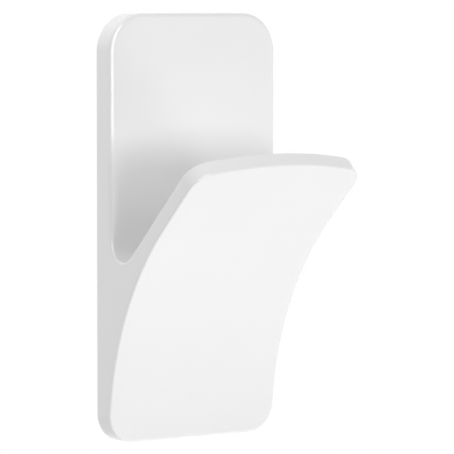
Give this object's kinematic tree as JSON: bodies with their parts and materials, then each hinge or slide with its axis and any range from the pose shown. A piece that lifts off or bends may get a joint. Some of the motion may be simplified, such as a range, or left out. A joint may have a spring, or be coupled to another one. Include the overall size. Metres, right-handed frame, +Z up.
{
  "type": "adhesive wall hook",
  "caption": "Wall hook with a rounded plate and a broad curved tongue that slides up off a flat base, held on the wall by a stretch-release adhesive strip with a pull tab",
  "frame": {"origin": "on the wall plane, behind the middle of the hook's plate, on the back face of the wall adhesive", "axes": "+Z up along the plate's height, +Y into the wall, +X to the right of a person who faces the wall"},
  "size_m": [0.038, 0.0342, 0.08],
  "materials": {
    "hook_plastic": "glossy white moulded plastic",
    "base_plastic": "satin off-white moulded plastic",
    "adhesive": "clear tacky adhesive, slightly yellow",
    "strip_core": "white elastic core, matte",
    "tab_film": "smooth grey-blue film"
  },
  "bodies": {
    "base": {"mounting_base": "base_plastic", "base_adhesive": "adhesive", "strip_core": "strip_core", "wall_adhesive": "adhesive", "pull_tab_film": "tab_film"},
    "hook": {"hook_body": "hook_plastic"}
  },
  "joints": [
    {"name": "hook_slide", "type": "slide", "parent": "base", "child": "hook", "axis": [0, 0, 1], "range_m": [0, 0.023]}
  ]
}
